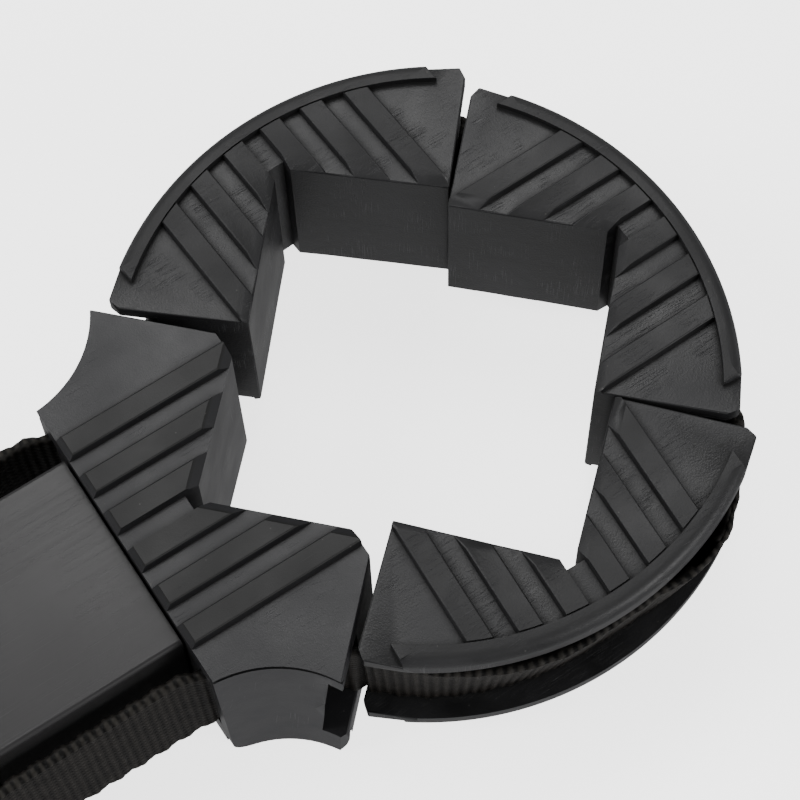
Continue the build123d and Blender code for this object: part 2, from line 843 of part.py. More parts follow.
origin_x = (rim_reach("far") + handle_rear) / 2
origin_y = (rim_reach("left") - rim_reach("right")) / 2
to_origin = Pos(-origin_x, -origin_y, 0)


def model():
    jaw, strap = corner_jaw(), jaw_strap()
    nodes = {
        "head_jaw": head_jaw(),
        "housing_top": housing_top_shell(),
        "housing_bottom": housing_bottom_shell(),
        "housing_screws": housing_screws(),
        "end_block": end_block(),
        "front_bush": bush(front_bush_front()),
        "rear_bush": bush(plate_rear + bush_length),
        "strap_wing_left": wing_strap(1),
        "strap_wing_right": wing_strap(-1),
        "lead_screw": lead_screw_drilled(),
        "front_retaining_ring": retaining_ring(),
        "inner_thrust_washer": washer(housing_rear + spigot_length + washer_thickness + 2 * running),
        "outer_thrust_washer": washer(plate_rear - running),
        "handle_core": handle_core(),
        "handle_grip": handle_grip(),
        "handle_cap": handle_cap(),
        "handle_cross_pin": cross_pin(),
        "travelling_nut": travelling_nut(),
        "carriage": carriage(),
        "anchor_pin": lock_pin(1),
        "cam_pin": lock_pin(-1),
        "cam_lever": cam_lever(),
        "cam_spring": cam_spring(),
        "strap_anchor_loop": anchor_loop(),
        "strap_in_lock": lock_strap(),
        "strap_tail": strap_tail(),
        "strap_coil": strap_coil(),
        "coil_tie": coil_tie(),
    }
    for name in jaw_rest:
        nodes[f"corner_jaw_{name}"] = jaw_place(name) * jaw
        nodes[f"strap_jaw_{name}"] = jaw_place(name) * strap
    return nodes


os.makedirs("parts", exist_ok=True)
for node, shape in model().items():
    pieces = shape if isinstance(shape, list) else [shape]
    moved = [to_origin * piece for piece in pieces]
    export_step(moved[0] if len(moved) == 1 else Compound(children=moved), f"parts/{node}.step")
print("origin", round(origin_x, 3), round(origin_y, 3))
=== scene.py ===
"""Strap clamp with four corner jaws: the looks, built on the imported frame.

Metres throughout. +X runs along the tool from the handle to the jaws and the bench is z = 0.
"""

from math import atan2, ceil, cos, degrees, hypot, pi, radians, sin

import bmesh
import bpy
import numpy as np
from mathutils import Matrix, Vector
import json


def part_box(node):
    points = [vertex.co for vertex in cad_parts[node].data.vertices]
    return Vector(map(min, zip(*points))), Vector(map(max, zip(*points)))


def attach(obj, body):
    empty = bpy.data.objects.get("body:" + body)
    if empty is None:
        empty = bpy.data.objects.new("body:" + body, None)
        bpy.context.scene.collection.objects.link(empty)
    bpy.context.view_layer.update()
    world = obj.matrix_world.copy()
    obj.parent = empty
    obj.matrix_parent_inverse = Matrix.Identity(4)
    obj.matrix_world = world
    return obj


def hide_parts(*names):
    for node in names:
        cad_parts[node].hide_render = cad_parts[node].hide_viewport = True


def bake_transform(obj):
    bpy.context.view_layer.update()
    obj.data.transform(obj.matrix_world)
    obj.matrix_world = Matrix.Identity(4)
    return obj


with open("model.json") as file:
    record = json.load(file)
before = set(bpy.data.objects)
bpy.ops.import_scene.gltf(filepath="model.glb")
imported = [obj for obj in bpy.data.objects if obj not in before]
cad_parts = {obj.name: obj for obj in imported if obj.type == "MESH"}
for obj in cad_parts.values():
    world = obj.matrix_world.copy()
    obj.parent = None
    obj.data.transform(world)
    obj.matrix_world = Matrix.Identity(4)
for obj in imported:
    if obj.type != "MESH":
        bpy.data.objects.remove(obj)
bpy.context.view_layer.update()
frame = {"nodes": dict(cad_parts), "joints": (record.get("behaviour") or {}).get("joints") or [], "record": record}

MM = 0.001

# ---- sizes that the frame's parts are made to ----
strap_width = 25 * MM
strap_thickness = 2.2 * MM
strap_low = 10.1 * MM
strap_middle = strap_low + strap_width / 2
strap_radius = 53.5 * MM          # middle of the strap in a jaw's channel
strap_run = 27.9 * MM             # middle of the strap beside the housing, from the tool's axis
wing_bend_radius = 32.6 * MM
wing_bend_end = -13.18 * MM       # from the notch; behind it the strap runs straight along the housing
head_depth = 15.6 * MM            # from the notch back to the fixed jaw's rear
rib_top = 43 * MM
pick = 1.7 * MM                   # spacing of the weave's cross ribs
yarn = 1.4 * MM                   # spacing of the lines along the weave
selvedge_bead = 5.0 * MM          # spacing of the bumps along the strap's edges
rib_height = 0.34 * MM            # of a cross rib over the valleys beside it
rib_sunk = 0.26 * MM              # how far the valleys lie inside the strap's thickness
bead_height = 0.36 * MM           # of a bump on an edge
station = 0.43 * MM               # between two cross-sections of the modelled weave
thread_pitch = 3.0 * MM

# Where each loose jaw sits: its direction from the ring's middle, its shift along X and Y from its
# nominal place, and its turn. Angles are in degrees.
jaw_rest = {
    "left": (90.0, 1.5 * MM, 2.6 * MM, 3.8),
    "far": (0.0, 1.1 * MM, 1.5 * MM, 1.0),
    "right": (-90.0, 3.0 * MM, -0.7 * MM, -2.7),
}

# ---- places, from the frame ----
mounts = {m["name"]: Vector(m["pos_m"]) for m in frame["record"]["mounts"]}
joints = {j["name"]: j for j in frame["joints"]}
node_body = {n: b for b, names in frame["record"]["behaviour"]["bodies"].items() for n in names}
face_left, face_right = mounts["fixed_face_left"], mounts["fixed_face_right"]
face_half = (face_left.y - face_right.y) / 2
axis_y = (face_left.y + face_right.y) / 2
notch_x = face_left.x - face_half
ring_corner = 4 * face_half
ring_x = notch_x + ring_corner
screw_z = joints["handle_turn"]["pos_m"][2]
anchor_low, anchor_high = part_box("anchor_pin")
anchor = (anchor_low + anchor_high) / 2
lock_low, lock_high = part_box("strap_in_lock")
jaw_travel = joints["left_jaw_slide"]["range_m"][1]


# ---- camera ----
def make_camera():
    camera = bpy.data.objects.new("camera", bpy.data.cameras.new("camera"))
    bpy.context.scene.collection.objects.link(camera)
    camera.data.sensor_width = 36.0
    camera.data.lens = 110.8
    camera.data.clip_start = 0.01
    camera.data.clip_end = 20.0
    camera.location = (ring_x - 0.1025, axis_y - 0.1644, 0.4635)
    camera.rotation_euler = (radians(23.911), radians(0.935), radians(-33.267))
    bpy.context.scene.camera = camera


make_camera()


# ---- small tools ----
def tint(hex_colour):
    """An sRGB hex colour as linear RGBA."""
    values = [int(hex_colour[k : k + 2], 16) / 255 for k in (1, 3, 5)]
    return tuple(v / 12.92 if v <= 0.04045 else ((v + 0.055) / 1.055) ** 2.4 for v in values) + (1.0,)


def add(tree, kind, inputs=None, **settings):
    """A node of that kind with its settings, and its inputs by name or number as values or links."""
    node = tree.nodes.new(kind)
    for key, value in settings.items():
        setattr(node, key, value)
    for key, value in (inputs or {}).items():
        socket = node.inputs[key]
        if isinstance(value, bpy.types.NodeSocket):
            tree.links.new(value, socket)
        else:
            socket.default_value = value
    return node


def ramp(tree, value, low, high, to_low=0.0, to_high=1.0):
    """value carried from low..high to to_low..to_high, and held there beyond."""
    inputs = {"Value": value, "From Min": low, "From Max": high, "To Min": to_low, "To Max": to_high}
    return add(tree, "ShaderNodeMapRange", inputs, clamp=True).outputs[0]


def sum_of(tree, *values):
    total = values[0]
    for value in values[1:]:
        total = add(tree, "ShaderNodeMath", {0: total, 1: value}, operation="ADD").outputs[0]
    return total


def times(tree, a, b):
    return add(tree, "ShaderNodeMath", {0: a, 1: b}, operation="MULTIPLY").outputs[0]


def function_of(tree, operation, value):
    return add(tree, "ShaderNodeMath", {0: value}, operation=operation).outputs[0]


def mixed(tree, share, first, second):
    """Colour first where share is 0 and second where it is 1."""
    node = add(tree, "ShaderNodeMix", {0: share}, data_type="RGBA")
    for socket, value in ((node.inputs[6], first), (node.inputs[7], second)):
        if isinstance(value, bpy.types.NodeSocket):
            tree.links.new(value, socket)
        else:
            socket.default_value = value
    return node.outputs[2]


def new_material(name, roughness=0.5, metallic=0.0, ior=1.5, sheen=0.0):
    """A material with its Principled shader; what varies over the surface is linked later."""
    material = bpy.data.materials.new(name)
    material.use_nodes = True
    tree = material.node_tree
    shader = tree.nodes["Principled BSDF"]
    shader.inputs["Roughness"].default_value = roughness
    shader.inputs["Metallic"].default_value = metallic
    shader.inputs["IOR"].default_value = ior
    shader.inputs["Sheen Weight"].default_value = sheen
    return material, tree, shader


def object_coords(tree, scale=(1, 1, 1), turn=(0, 0, 0)):
    coords = add(tree, "ShaderNodeTexCoord").outputs["Object"]
    inputs = {"Vector": coords, "Scale": scale, "Rotation": [radians(t) for t in turn]}
    return add(tree, "ShaderNodeMapping", inputs).outputs[0]


def noise(tree, vector, size, detail=2.0, rough=0.5):
    """Noise whose lumps are about size across, in metres."""
    inputs = {"Vector": vector, "Scale": 1 / size, "Detail": detail, "Roughness": rough}
    return add(tree, "ShaderNodeTexNoise", inputs).outputs["Fac"]


def scratches(tree, turn, length, width, few):
    """Fine straight lines along one direction, 1 on a scratch and 0 beside it."""
    stretched = object_coords(tree, (1 / length, 1 / width, 1 / length), (0, 0, turn))
    lines = add(tree, "ShaderNodeTexNoise", {"Vector": stretched, "Scale": 1.0, "Detail": 1.0}).outputs["Fac"]
    return ramp(tree, lines, few, few + 0.05)


def bumped(tree, shader, height, depth, strength=1.0):
    """height times depth, in metres, shown as bump."""
    bump = add(tree, "ShaderNodeBump", {"Height": height, "Distance": depth, "Strength": strength})
    tree.links.new(bump.outputs[0], shader.inputs["Normal"])


# ---- materials ----
def corner_shade_ao(tree, reach):
    """1 on open faces, falling to 0 in corners, from ambient occlusion: the mask for shade painted into corners.
    """
    node = add(tree, "ShaderNodeAmbientOcclusion", {"Distance": reach}, samples=4)
    return node.outputs["AO"]


def stripe(tree, height, level, half=0.18 * MM):
    """1 on the thin line that the mould's halves leave at a level, fading to 0 above and below it."""
    above = ramp(tree, height, level - half, level)
    return times(tree, above, ramp(tree, height, level + half, level))


def moulded_nylon(name, base, worn, grain, depth, roughness, marks, rib_base):
    """Glass-filled nylon from a spark-eroded mould: fine matt grain, handling scratches, dust specks, painted
    corner shade.
    """
    material, tree, shader = new_material(name, roughness, ior=1.43)
    coords = object_coords(tree)
    cloudy = noise(tree, coords, 14 * MM, 3.0)
    fine = noise(tree, coords, grain, 2.0)
    lines = sum_of(
        tree,
        scratches(tree, 38, 9 * MM, 0.14 * MM, marks),
        scratches(tree, -52, 6 * MM, 0.12 * MM, marks + 0.01),
        scratches(tree, 8, 12 * MM, 0.12 * MM, marks + 0.02),
    )
    rubbed = times(tree, lines, ramp(tree, noise(tree, coords, 9 * MM, 2.0), 0.5, 0.62))
    scattered = {"Vector": coords, "Scale": 1 / (3.4 * MM)}
    specks = add(tree, "ShaderNodeTexVoronoi", scattered).outputs["Distance"]
    dust = ramp(tree, specks, 0.055, 0.03)
    split = add(tree, "ShaderNodeSeparateXYZ", {0: coords})
    height = split.outputs[2]
    on_rib = ramp(tree, height, rib_top - 0.5 * MM, rib_top - 0.2 * MM)
    wobble = times(tree, noise(tree, coords, 6 * MM), 0.5 * MM)
    level = sum_of(tree, height, wobble)
    parting = sum_of(tree, stripe(tree, level, strap_middle + 0.25 * MM), stripe(tree, level, 3.2 * MM))
    unshaded_share = ramp(tree, corner_shade_ao(tree, 1.6 * MM), 0.45, 0.85)
    colour = mixed(tree, ramp(tree, cloudy, 0.35, 0.7, 0.0, 0.35), tint(base), tint(worn))
    colour = mixed(tree, on_rib, colour, tint(rib_base))
    colour = mixed(tree, times(tree, rubbed, 0.5), colour, tint(worn))
    colour = mixed(tree, times(tree, dust, 0.25), colour, tint("#6c6a66"))
    colour = mixed(tree, times(tree, parting, 0.6), colour, tint("#060606"))
    # Painted shade: corners darkened towards near black by ambient occlusion.
    colour = mixed(tree, unshaded_share, tint("#040404"), colour)
    tree.links.new(colour, shader.inputs["Base Color"])
    rough = sum_of(
        tree,
        ramp(tree, cloudy, 0.3, 0.7, roughness - 0.06, roughness + 0.08),
        times(tree, rubbed, -0.12),
        times(tree, on_rib, 0.1),
        ramp(tree, unshaded_share, 0.0, 1.0, 0.3, 0.0),
    )
    tree.links.new(rough, shader.inputs["Roughness"])
    relief = sum_of(tree, fine, times(tree, rubbed, -0.6), times(tree, noise(tree, coords, 3 * MM), 1.2))
    bumped(tree, shader, relief, depth, 0.9)
    return material


def coated_aluminium():
    """Aluminium section, dark satin anodised, brushed across the tool at a slant, with painted shade in corners.
    """
    material, tree, shader = new_material("anodised_aluminium_brushed", 0.4, ior=1.5)
    coords = object_coords(tree)
    streaks = object_coords(tree, (1 / (22 * MM), 1 / (0.35 * MM), 1 / (22 * MM)), (0, 0, 24))
    brushed = add(tree, "ShaderNodeTexNoise", {"Vector": streaks, "Scale": 1.0, "Detail": 3.0}).outputs["Fac"]
    lines = scratches(tree, -24, 16 * MM, 0.16 * MM, 0.68)
    cloudy = noise(tree, coords, 24 * MM, 3.0)
    colour = mixed(tree, ramp(tree, brushed, 0.35, 0.7, 0.0, 0.4), tint("#161516"), tint("#222021"))
    colour = mixed(tree, times(tree, lines, 0.45), colour, tint("#3e3d3f"))
    unshaded_share = ramp(tree, corner_shade_ao(tree, 9 * MM), 0.35, 0.8)
    # Painted shade: recesses darkened towards near black by ambient occlusion reaching 9 mm.
    colour = mixed(tree, unshaded_share, tint("#030303"), colour)
    tree.links.new(colour, shader.inputs["Base Color"])
    satin = ramp(tree, sum_of(tree, brushed, cloudy), 0.8, 1.3, 0.36, 0.48)
    dull = sum_of(tree, satin, ramp(tree, unshaded_share, 0, 1, 0.45, 0))
    tree.links.new(dull, shader.inputs["Roughness"])
    bumped(tree, shader, sum_of(tree, brushed, times(tree, lines, -1.0)), 0.02 * MM, 0.4)
    return material


def woven_nylon():
    """Black nylon webbing: yarns over cross ribs, painted shade in the weave's valleys, painted highlight on its
    edges' bumps. UV is metres along and across.
    """
    material, tree, shader = new_material("nylon_webbing_woven", 0.55, ior=1.53, sheen=0.015)
    shader.inputs["Specular IOR Level"].default_value = 0.12
    shader.inputs["Sheen Roughness"].default_value = 0.45
    shader.inputs["Sheen Tint"].default_value = tint("#8a8078")
    uv = add(tree, "ShaderNodeUVMap", uv_map="strap").outputs[0]
    split = add(tree, "ShaderNodeSeparateXYZ", {0: uv})
    along, across = split.outputs[0], split.outputs[1]
    yarns = function_of(tree, "COSINE", times(tree, across, 2 * pi / yarn))
    picks = function_of(tree, "COSINE", times(tree, along, 2 * pi / pick))
    drawn_out = (1 / (1.2 * MM), 1 / (0.14 * MM), 1)
    hairs = add(tree, "ShaderNodeMapping", {"Vector": uv, "Scale": drawn_out}).outputs[0]
    fibres = add(tree, "ShaderNodeTexNoise", {"Vector": hairs, "Scale": 1.0, "Detail": 2.0}).outputs["Fac"]
    crossed = times(tree, yarns, picks)
    wandering = times(tree, noise(tree, object_coords(tree), 2.6 * MM, 3.0), 1.2)
    height = sum_of(
        tree, times(tree, picks, 0.34), times(tree, crossed, 0.3), times(tree, fibres, 0.6), wandering
    )
    rim = ramp(tree, function_of(tree, "ABSOLUTE", across), 11.6 * MM, 12.4 * MM)
    worn = ramp(tree, noise(tree, object_coords(tree), 11 * MM, 3.0), 0.4, 0.75)
    # Painted shade and highlight: darker in the weave's valleys and paler on its raised yarns by relief height,
    # with random tone from its noise.
    colour = mixed(tree, ramp(tree, height, 0.45, 1.6), tint("#010101"), tint("#191715"))
    colour = mixed(tree, times(tree, worn, 0.2), colour, tint("#1d1a17"))
    # Painted highlight on the raised bumps along the strap's edges.
    edge_highlight = times(tree, times(tree, rim, ramp(tree, height, 0.6, 1.3)), 0.8)
    colour = mixed(tree, edge_highlight, colour, tint("#282623"))
    tree.links.new(colour, shader.inputs["Base Color"])
    tree.links.new(ramp(tree, fibres, 0.3, 0.7, 0.48, 0.68), shader.inputs["Roughness"])
    bumped(tree, shader, height, 0.12 * MM, 0.9)
    return material


def plated_steel():
    """Turned steel with bright zinc plate: fine turning lines round the part and a faint mottle."""
    material, tree, shader = new_material("zinc_plated_steel_turned", 0.3, metallic=1.0)
    coords = object_coords(tree)
    turned = add(tree, "ShaderNodeTexWave", {"Vector": coords, "Scale": 1 / (0.9 * MM), "Distortion": 0.4})
    mottle = noise(tree, coords, 5 * MM, 3.0)
    colour = mixed(tree, ramp(tree, mottle, 0.35, 0.7), tint("#a9abae"), tint("#c3c3c0"))
    tree.links.new(colour, shader.inputs["Base Color"])
    tree.links.new(ramp(tree, mottle, 0.3, 0.7, 0.24, 0.4), shader.inputs["Roughness"])
    bumped(tree, shader, turned.outputs["Fac"], 0.02 * MM, 0.3)
    return material


def blackened_steel():
    """Hardened steel with black oxide: nearly black, oily satin, a little brown where it is handled."""
    material, tree, shader = new_material("black_oxide_steel", 0.38, metallic=0.9)
    coords = object_coords(tree)
    mottle = noise(tree, coords, 2.5 * MM, 3.0)
    colour = mixed(tree, ramp(tree, mottle, 0.35, 0.7), tint("#232325"), tint("#353230"))
    tree.links.new(colour, shader.inputs["Base Color"])
    tree.links.new(ramp(tree, mottle, 0.3, 0.7, 0.3, 0.46), shader.inputs["Roughness"])
    bumped(tree, shader, noise(tree, coords, 0.3 * MM), 0.01 * MM, 0.4)
    return material


def sintered_bronze():
    """Oil-filled sintered bronze: a warm dull metal with dark open pores."""
    material, tree, shader = new_material("sintered_bronze", 0.45, metallic=1.0)
    coords = object_coords(tree)
    pores = add(tree, "ShaderNodeTexVoronoi", {"Vector": coords, "Scale": 1 / (0.5 * MM)}).outputs["Distance"]
    colour = mixed(tree, ramp(tree, pores, 0.3, 0.12), tint("#b08d57"), tint("#6b5230"))
    tree.links.new(colour, shader.inputs["Base Color"])
    tree.links.new(ramp(tree, noise(tree, coords, 4 * MM), 0.3, 0.7, 0.38, 0.55), shader.inputs["Roughness"])
    bumped(tree, shader, pores, 0.02 * MM, 0.4)
    return material


def grip_rubber():
    """Thermoplastic rubber moulded over the handle: very matt, finely pebbled so that it holds dust."""
    material, tree, shader = new_material("tpe_grip_pebbled", 0.75, ior=1.5)
    coords = object_coords(tree)
    scattered = {"Vector": coords, "Scale": 1 / (0.9 * MM)}
    pebbles = add(tree, "ShaderNodeTexVoronoi", scattered).outputs["Distance"]
    dusty = noise(tree, coords, 12 * MM, 4.0)
    colour = mixed(tree, ramp(tree, dusty, 0.4, 0.75, 0.0, 0.5), tint("#1b1b1c"), tint("#2e2d2c"))
    tree.links.new(colour, shader.inputs["Base Color"])
    tree.links.new(ramp(tree, dusty, 0.3, 0.7, 0.66, 0.85), shader.inputs["Roughness"])
    bumped(tree, shader, pebbles, 0.09 * MM, 0.7)
    return material


def hook_and_loop():
    """Hook-and-loop tape, loop side out: a flat black felt of fine curls."""
    material, tree, shader = new_material("hook_and_loop_tape", 0.9, sheen=0.12)
    coords = object_coords(tree)
    curls = noise(tree, coords, 0.5 * MM, 4.0, 0.7)
    colour = mixed(tree, ramp(tree, curls, 0.35, 0.7), tint("#080808"), tint("#171717"))
    tree.links.new(colour, shader.inputs["Base Color"])
    tree.links.new(ramp(tree, curls, 0.3, 0.7, 0.8, 0.95), shader.inputs["Roughness"])
    bumped(tree, shader, curls, 0.25 * MM, 0.9)
    return material


def polyester_thread():
    """Twisted sewing thread, slightly greyer than the strap it holds."""
    material, tree, shader = new_material("polyester_thread", 0.6, sheen=0.2)
    twist = object_coords(tree, (1 / (0.5 * MM), 1 / (0.5 * MM), 1 / (0.5 * MM)), (0, 30, 40))
    strands = add(tree, "ShaderNodeTexWave", {"Vector": twist, "Scale": 1.0}).outputs["Fac"]
    tree.links.new(mixed(tree, strands, tint("#3a3a3c"), tint("#55555a")), shader.inputs["Base Color"])
    bumped(tree, shader, strands, 0.05 * MM, 0.6)
    return material


jaw_plastic = moulded_nylon(
    "glass_nylon_jaw",
    base="#121213",
    worn="#323234",
    grain=0.36 * MM,
    depth=0.055 * MM,
    roughness=0.44,
    marks=0.65,
    rib_base="#161617",
)
head_plastic = moulded_nylon(
    "glass_nylon_head",
    base="#18181a",
    worn="#252527",
    grain=0.3 * MM,
    depth=0.022 * MM,
    roughness=0.42,
    marks=0.70,
    rib_base="#0e0e0e",
)
shell_metal = coated_aluminium()
webbing_cloth = woven_nylon()
steel = plated_steel()
black_steel = blackened_steel()
bronze = sintered_bronze()
rubber = grip_rubber()
felt = hook_and_loop()
thread = polyester_thread()


# ---- meshes ----
def piece(name, points, faces, material, smooth=True):
    mesh = bpy.data.meshes.new(name)
    mesh.from_pydata([tuple(p) for p in points], [], faces)
    mesh.materials.append(material)
    if smooth:
        mesh.polygons.foreach_set("use_smooth", [True] * len(mesh.polygons))
    mesh.update()
    thing = bpy.data.objects.new(name, mesh)
    bpy.context.scene.collection.objects.link(thing)
    return thing


NOTCH_CLEAR = 4.5 * MM         # edges this close to the notch corner stay sharp
FOOT_HIGH = 6 * MM             # so do those of the wings' rounded feet, below this
WING_SIDE = 30 * MM            # and further from the tool's axis than this
CREASE = 35                    # degrees between two faces from which an edge counts as sharp


def notch_corner(name):
    """Where a loose jaw's two clamping faces would meet."""
    direction, dx, dy, _ = jaw_rest[name]
    turn = radians(direction)
    return ring_x + ring_corner * cos(turn) + dx, axis_y + ring_corner * sin(turn) + dy


def is_rounded(edge, shortest, keep_clear):
    """Whether an edge is one of those that the mould or the file has rounded."""
    if edge.smooth or not edge.is_convex or edge.calc_length() <= shortest:
        return False
    if keep_clear is None:
        return True
    ends = [vertex.co for vertex in edge.verts]
    if any(co.z < FOOT_HIGH and abs(co.y - axis_y) > WING_SIDE for co in ends):
        return False
    return all((co.xy - keep_clear).length > NOTCH_CLEAR for co in ends)


def edged(name, node, material, width, shortest=1.2 * MM, keep_clear=None):
    """A carried-over part with its long sharp edges rounded, so that they catch the light.

    Edges under the shortest length stay as they are, and so do those near the notch corner keep_clear.
    """
    mesh = frame["nodes"][node].data.copy()
    mesh.name = name
    mesh.materials.clear()
    mesh.materials.append(material)
    build = bmesh.new()
    build.from_mesh(mesh)
    bmesh.ops.remove_doubles(build, verts=build.verts, dist=0.002 * MM)
    bmesh.ops.dissolve_limit(build, angle_limit=radians(0.4), verts=build.verts, edges=build.edges)
    weights = build.edges.layers.float.new("bevel_weight_edge")
    for edge in build.edges:
        edge.smooth = len(edge.link_faces) == 2 and edge.calc_face_angle(0.0) < radians(CREASE)
        edge[weights] = float(is_rounded(edge, shortest, keep_clear))
    for face in build.faces:
        face.smooth = True
    build.to_mesh(mesh)
    build.free()
    thing = bpy.data.objects.new(name, mesh)
    bpy.context.scene.collection.objects.link(thing)
    bevel = thing.modifiers.new("rounded edges", "BEVEL")
    bevel.width = width
    bevel.segments = 2
    bevel.limit_method = "WEIGHT"
    bevel.use_clamp_overlap = False
    bevel.harden_normals = True
    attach(thing, node_body[node])
    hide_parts(node)
    return thing


# ---- the strap ----
def arc(centre, radius, start, finish):
    """Points round an arc, given in degrees, about a point of the tool's own plane."""
    count = max(2, ceil(abs(radians(finish - start)) * radius / (1 * MM)))
    turns = [radians(start + (finish - start) * k / count) for k in range(count + 1)]
    return [(centre[0] + radius * cos(t), centre[1] + radius * sin(t)) for t in turns]


def bridge(before, after):
    """A smooth curve over the gap between two stretches, along both their ends."""
    (a0, a1), (b0, b1) = before[-2:], after[:2]
    p, q = np.array(a1), np.array(b0)
    u, v = p - np.array(a0), np.array(b1) - q
    span = np.linalg.norm(q - p)
    u, v = u / np.linalg.norm(u) * span, v / np.linalg.norm(v) * span
    count = max(3, ceil(span / (1 * MM)))
    out = []
    for k in range(1, count):
        t = k / count
        curve = (2 * t**3 - 3 * t**2 + 1) * p + (t**3 - 2 * t**2 + t) * u
        curve = curve + (3 * t**2 - 2 * t**3) * q + (t**3 - t**2) * v
        out.append(tuple(curve))
    return out


def even(points, step):
    """The same line with points an even step apart, and how far along it each one is."""
    line = np.array(points, float)
    gaps = np.linalg.norm(np.diff(line, axis=0), axis=1)
    keep = np.concatenate([[True], gaps > 1e-7])
    line = line[keep]
    along = np.concatenate([[0], np.cumsum(np.linalg.norm(np.diff(line, axis=0), axis=1))])
    count = max(2, round(along[-1] / step))
    at = np.linspace(0, along[-1], count + 1)
    return np.stack([np.interp(at, along, line[:, k]) for k in range(line.shape[1])], 1), at


def jaw_arc(name, start=-45.0, finish=45.0):
    """The strap's middle line in a loose jaw's channel, counterclockwise between two angles of the jaw."""
    direction, _, _, turn = jaw_rest[name]
    pointing = direction + turn
    aim = radians(pointing)
    corner_x, corner_y = notch_corner(name)
    centre = (corner_x - ring_corner * cos(aim), corner_y - ring_corner * sin(aim))
    return arc(centre, strap_radius, pointing + start, pointing + finish)


def wing_arc(side, start=-45.0, finish=-90.0):
    """The strap's bend in one wing of the fixed jaw, from the ring back to the housing."""
    centre = (notch_x + wing_bend_end, strap_run + wing_bend_radius)
    return [(x, axis_y + side * y) for x, y in arc(centre, wing_bend_radius, start, finish)]


def section(columns, rim):
    """The strap's cross-section, each point as (across, place in the thickness, which edge, which face)."""
    flat = strap_width / 2 - strap_thickness / 2
    loop = []
    for way in (1.0, -1.0):
        for k in range(columns + 1):
            loop.append((way * flat * (2 * k / columns - 1), way, 0.0, way))
        for k in range(1, rim):
            t = pi * k / rim
            loop.append((way * (flat + (strap_thickness / 2) * sin(t)), way * cos(t), way, 0.0))
    return loop


def webbing(name, line, along, outward, heights, lean=None, thin=None, columns=36, rim=6):
    """Woven strap standing on edge along a line, with its cross ribs and beaded selvedges as real relief.

    line and outward have a row for each station, heights is the strap's middle there, lean is how far its
    lower and upper edges stand outwards, and thin is the share of the thickness kept inside and outside.
    """
    half_thick = strap_thickness / 2
    loop = section(columns, rim)
    points, places = [], []
    for k, (x, y) in enumerate(line[:, :2]):
        s = along[k]
        low_out, high_out = lean[k] if lean is not None else (0.0, 0.0)
        in_share, out_share = thin[k] if thin is not None else (1.0, 1.0)
        rib = (0.5 + 0.5 * cos(2 * pi * s / pick)) ** 0.6
        for v, place, edge, face in loop:
            share = v / strap_width + 0.5
            offset = low_out * (1 - share) + high_out * share
            if face:
                skew = 0.5 + 0.5 * cos(2 * pi * (v / yarn + 0.5 * s / pick))
                crown = rib_height * rib * (0.72 + 0.28 * skew)
                depth = place * half_thick + face * (crown - rib_sunk)
                w = v
            else:
                bead = 0.5 + 0.5 * cos(2 * pi * s / selvedge_bead + (pi if edge < 0 else 0))
                swell = 0.92 + 0.3 * bead + 0.1 * rib
                depth = place * half_thick * swell
                w = v + edge * (bead_height * bead + 0.14 * MM * rib)
            depth = depth * (out_share if depth > 0 else in_share)
            out_x, out_y = outward[k]
            points.append((x + out_x * (offset + depth), y + out_y * (offset + depth), heights[k] + w))
            places.append((s, v + (place * half_thick if edge else 0) * edge))
    count, rows = len(loop), len(line)
    faces = []
    for k in range(rows - 1):
        for c in range(count):
            d = (c + 1) % count
            faces.append((k * count + c, k * count + d, (k + 1) * count + d, (k + 1) * count + c))
    faces.append(tuple(range(count))[::-1])
    faces.append(tuple((rows - 1) * count + c for c in range(count)))
    strap = piece(name, points, faces, webbing_cloth)
    layer = strap.data.uv_layers.new(name="strap")
    corners = np.zeros(len(strap.data.loops), int)
    strap.data.loops.foreach_get("vertex_index", corners)
    layer.data.foreach_set("uv", np.array(places)[corners].ravel())
    build = bmesh.new()
    build.from_mesh(strap.data)
    bmesh.ops.recalc_face_normals(build, faces=build.faces)
    build.to_mesh(strap.data)
    build.free()
    return strap


def sideways(line):
    """Unit vectors square to the line in the bench's plane, to the right of its direction."""
    tangent = np.gradient(line[:, :2], axis=0)
    tangent /= np.linalg.norm(tangent, axis=1)[:, None]
    return np.stack([tangent[:, 1], -tangent[:, 0]], 1)


def upright(name, points, outward, lean=None, thin=None):
    """Webbing at the ring's height along those points, with outward made from its line by a function."""
    line, along = even(points, station)
    leans = [lean(x, y) for x, y in line] if lean else None
    thins = [thin(x, y) for x, y in line] if thin else None
    return webbing(name, line, along, outward(line), [strap_middle] * len(line), leans, thins)


def out_of_ring(line):
    normal = sideways(line)
    return normal * np.sign(((line[:, :2] - np.array((ring_x, axis_y))) * normal).sum(1).mean())


# The slack strap stands out of the right jaw's channel: by the angle round the ring, the radius in
# millimetres that the outside of its lower and of its upper edge reaches.
slack = [
    (-135, 54.0, 56.0),
    (-120, 55.0, 58.5),
    (-104, 55.5, 61.0),
    (-95, 56.0, 61.8),
    (-85, 56.5, 61.6),
    (-76, 58.0, 62.8),
    (-71, 59.5, 65.0),
    (-66, 61.0, 66.2),
    (-61, 62.0, 66.8),
    (-55, 61.5, 65.6),
    (-49, 60.5, 64.5),
    (-42, 60.0, 63.6),
    (-35, 58.0, 61.5),
    (-28, 55.0, 56.5),
    (-20, 54.0, 54.0),
]


def slack_at(x, y):
    angle = degrees(atan2(y - axis_y, x - ring_x))
    reach = hypot(x - ring_x, y - axis_y) + strap_thickness / 2
    angles, low, high = zip(*slack)
    return tuple(max(0.0, np.interp(angle, angles, edge) * MM - reach) for edge in (low, high))


def smooth_step(value):
    value = min(max(value, 0.0), 1.0)
    return value * value * (3 - 2 * value)


WING_SPLIT = -75.0       # degrees round the wing's bend, where the ring's strap meets the side run
OVERLAP = 20.0           # degrees of the right jaw's channel in which two layers of strap lie
LAYER = 0.02             # the share of its thickness that a layer keeps on the other layer's side


